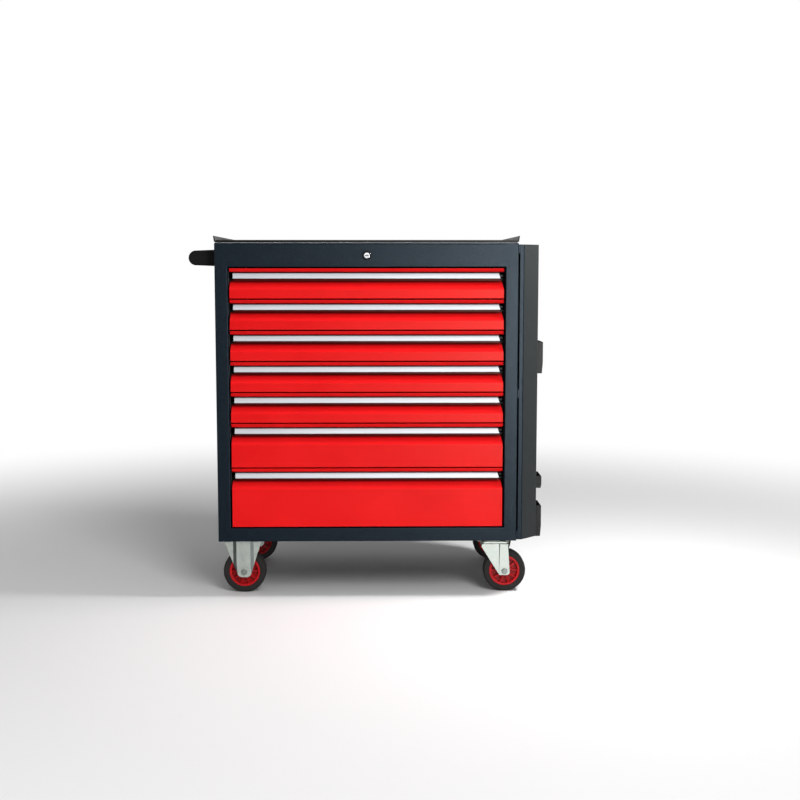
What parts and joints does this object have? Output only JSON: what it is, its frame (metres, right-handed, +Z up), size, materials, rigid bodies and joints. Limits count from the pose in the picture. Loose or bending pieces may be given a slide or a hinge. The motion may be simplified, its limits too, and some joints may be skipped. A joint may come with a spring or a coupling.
{
  "type": "rolling tool cabinet",
  "caption": "Steel tool cabinet on castors with red sliding drawers behind full-width grip strips, a black tray top, a side push bar and a perforated side panel.",
  "frame": {"origin": "on the floor below the middle of the overall outline", "axes": "+Z up, +X to the right as seen from the drawers, -Y out of the drawers"},
  "size_m": [0.819, 0.4626, 0.8352],
  "materials": {
    "body_paint": "fine-textured powder coat, dark blue-grey",
    "panel_paint": "satin powder coat, neutral dark grey",
    "board_edge": "light grey board edge",
    "tray_plastic": "grained black moulded plastic",
    "drawer_red": "satin red powder coat",
    "box_red": "satin red powder coat",
    "grip_metal": "brushed anodised strip",
    "runner_zinc": "bright zinc plated",
    "post_steel": "plain galvanised steel",
    "lock_dark": "dark burnished bezel",
    "lock_chrome": "polished plug",
    "handle_black": "black moulded plastic",
    "handle_tube": "black coated tube",
    "castor_zinc": "bright zinc plated pressing",
    "fastener_zinc": "zinc plated",
    "hub_red": "moulded red hub",
    "tyre_rubber": "dark grey rubber"
  },
  "bodies": {
    "carcass": {"left_side_panel": "body_paint", "right_side_panel": "body_paint", "back_panel": "body_paint", "base_pan": "body_paint", "top_cover": "body_paint", "worktop_board": "board_edge", "worktop_tray": "tray_plastic", "side_tool_panel": "panel_paint", "tool_holders": "panel_paint", "handle_brackets": "handle_black", "handle_bar": "handle_tube", "handle_screws": "fastener_zinc", "runner_posts": "post_steel", "cabinet_runners": "runner_zinc", "lock_housing": "lock_dark", "fixed_castor_brackets": "castor_zinc", "fixed_castor_axles": "fastener_zinc", "swivel_castor_plates": "castor_zinc", "castor_bolts": "fastener_zinc"},
    "drawer_1": {"drawer_front_1": "drawer_red", "drawer_grip_1": "grip_metal", "drawer_box_1": "box_red"},
    "runner_1": {"middle_runners_1": "runner_zinc"},
    "drawer_2": {"drawer_front_2": "drawer_red", "drawer_grip_2": "grip_metal", "drawer_box_2": "box_red"},
    "runner_2": {"middle_runners_2": "runner_zinc"},
    "drawer_3": {"drawer_front_3": "drawer_red", "drawer_grip_3": "grip_metal", "drawer_box_3": "box_red"},
    "runner_3": {"middle_runners_3": "runner_zinc"},
    "drawer_4": {"drawer_front_4": "drawer_red", "drawer_grip_4": "grip_metal", "drawer_box_4": "box_red"},
    "runner_4": {"middle_runners_4": "runner_zinc"},
    "drawer_5": {"drawer_front_5": "drawer_red", "drawer_grip_5": "grip_metal", "drawer_box_5": "box_red"},
    "runner_5": {"middle_runners_5": "runner_zinc"},
    "drawer_6": {"drawer_front_6": "drawer_red", "drawer_grip_6": "grip_metal", "drawer_box_6": "box_red"},
    "runner_6": {"middle_runners_6": "runner_zinc"},
    "drawer_7": {"drawer_front_7": "drawer_red", "drawer_grip_7": "grip_metal", "drawer_box_7": "box_red"},
    "runner_7": {"middle_runners_7": "runner_zinc"},
    "lock_plug": {"lock_plug": "lock_chrome"},
    "lock_bar": {"lock_bar": "runner_zinc"},
    "front_swivel": {"front_swivel_fork": "castor_zinc"},
    "front_left_wheel": {"front_left_wheel_hub": "hub_red", "front_left_tyre": "tyre_rubber"},
    "front_right_wheel": {"front_right_wheel_hub": "hub_red", "front_right_tyre": "tyre_rubber"},
    "rear_swivel": {"rear_swivel_fork": "castor_zinc"},
    "rear_left_wheel": {"rear_left_wheel_hub": "hub_red", "rear_left_tyre": "tyre_rubber"},
    "rear_right_wheel": {"rear_right_wheel_hub": "hub_red", "rear_right_tyre": "tyre_rubber"}
  },
  "joints": [
    {"name": "drawer_1_slide", "type": "slide", "parent": "carcass", "child": "drawer_1", "axis": [0, -1, 0], "range_m": [0, 0.38]},
    {"name": "runner_1_slide", "type": "slide", "parent": "carcass", "child": "runner_1", "axis": [0, -1, 0], "range_m": [0, 0.1905]},
    {"name": "drawer_2_slide", "type": "slide", "parent": "carcass", "child": "drawer_2", "axis": [0, -1, 0], "range_m": [0, 0.38]},
    {"name": "runner_2_slide", "type": "slide", "parent": "carcass", "child": "runner_2", "axis": [0, -1, 0], "range_m": [0, 0.1905]},
    {"name": "drawer_3_slide", "type": "slide", "parent": "carcass", "child": "drawer_3", "axis": [0, -1, 0], "range_m": [0, 0.38]},
    {"name": "runner_3_slide", "type": "slide", "parent": "carcass", "child": "runner_3", "axis": [0, -1, 0], "range_m": [0, 0.1905]},
    {"name": "drawer_4_slide", "type": "slide", "parent": "carcass", "child": "drawer_4", "axis": [0, -1, 0], "range_m": [0, 0.38]},
    {"name": "runner_4_slide", "type": "slide", "parent": "carcass", "child": "runner_4", "axis": [0, -1, 0], "range_m": [0, 0.1905]},
    {"name": "drawer_5_slide", "type": "slide", "parent": "carcass", "child": "drawer_5", "axis": [0, -1, 0], "range_m": [0, 0.38]},
    {"name": "runner_5_slide", "type": "slide", "parent": "carcass", "child": "runner_5", "axis": [0, -1, 0], "range_m": [0, 0.1905]},
    {"name": "drawer_6_slide", "type": "slide", "parent": "carcass", "child": "drawer_6", "axis": [0, -1, 0], "range_m": [0, 0.38]},
    {"name": "runner_6_slide", "type": "slide", "parent": "carcass", "child": "runner_6", "axis": [0, -1, 0], "range_m": [0, 0.1905]},
    {"name": "drawer_7_slide", "type": "slide", "parent": "carcass", "child": "drawer_7", "axis": [0, -1, 0], "range_m": [0, 0.38]},
    {"name": "runner_7_slide", "type": "slide", "parent": "carcass", "child": "runner_7", "axis": [0, -1, 0], "range_m": [0, 0.1905]},
    {"name": "lock_bar_drop", "type": "slide", "parent": "carcass", "child": "lock_bar", "axis": [0, 0, -1], "range_m": [0, 0.00999]},
    {"name": "lock_turn", "type": "hinge", "parent": "carcass", "child": "lock_plug", "pos_m": [0.0015, -0.2287, 0.79125], "axis": [0, 1, 0], "range_deg": [0, 90.2]},
    {"name": "front_castor_swivel", "type": "hinge", "parent": "carcass", "child": "front_swivel", "pos_m": [0.2965, -0.1612, 0.13], "axis": [0, 0, 1], "continuous": true},
    {"name": "front_left_wheel_roll", "type": "hinge", "parent": "carcass", "child": "front_left_wheel", "pos_m": [-0.2895, -0.1612, 0.05], "axis": [0, 1, 0], "continuous": true},
    {"name": "front_right_wheel_roll", "type": "hinge", "parent": "front_swivel", "child": "front_right_wheel", "pos_m": [0.325, -0.1612, 0.05], "axis": [0, 1, 0], "continuous": true},
    {"name": "rear_castor_swivel", "type": "hinge", "parent": "carcass", "child": "rear_swivel", "pos_m": [0.2965, 0.1638, 0.13], "axis": [0, 0, 1], "continuous": true},
    {"name": "rear_left_wheel_roll", "type": "hinge", "parent": "carcass", "child": "rear_left_wheel", "pos_m": [-0.2895, 0.1638, 0.05], "axis": [0, 1, 0], "continuous": true},
    {"name": "rear_right_wheel_roll", "type": "hinge", "parent": "rear_swivel", "child": "rear_right_wheel", "pos_m": [0.325, 0.1638, 0.05], "axis": [0, 1, 0], "continuous": true}
  ],
  "couplings": [
    {"joint": "runner_1_slide", "follows": "drawer_1_slide", "ratio": 0.5},
    {"joint": "runner_2_slide", "follows": "drawer_2_slide", "ratio": 0.5},
    {"joint": "runner_3_slide", "follows": "drawer_3_slide", "ratio": 0.5},
    {"joint": "runner_4_slide", "follows": "drawer_4_slide", "ratio": 0.5},
    {"joint": "runner_5_slide", "follows": "drawer_5_slide", "ratio": 0.5},
    {"joint": "runner_6_slide", "follows": "drawer_6_slide", "ratio": 0.5},
    {"joint": "runner_7_slide", "follows": "drawer_7_slide", "ratio": 0.5},
    {"joint": "lock_turn", "follows": "lock_bar_drop", "rad_per_m": 157.24}
  ]
}
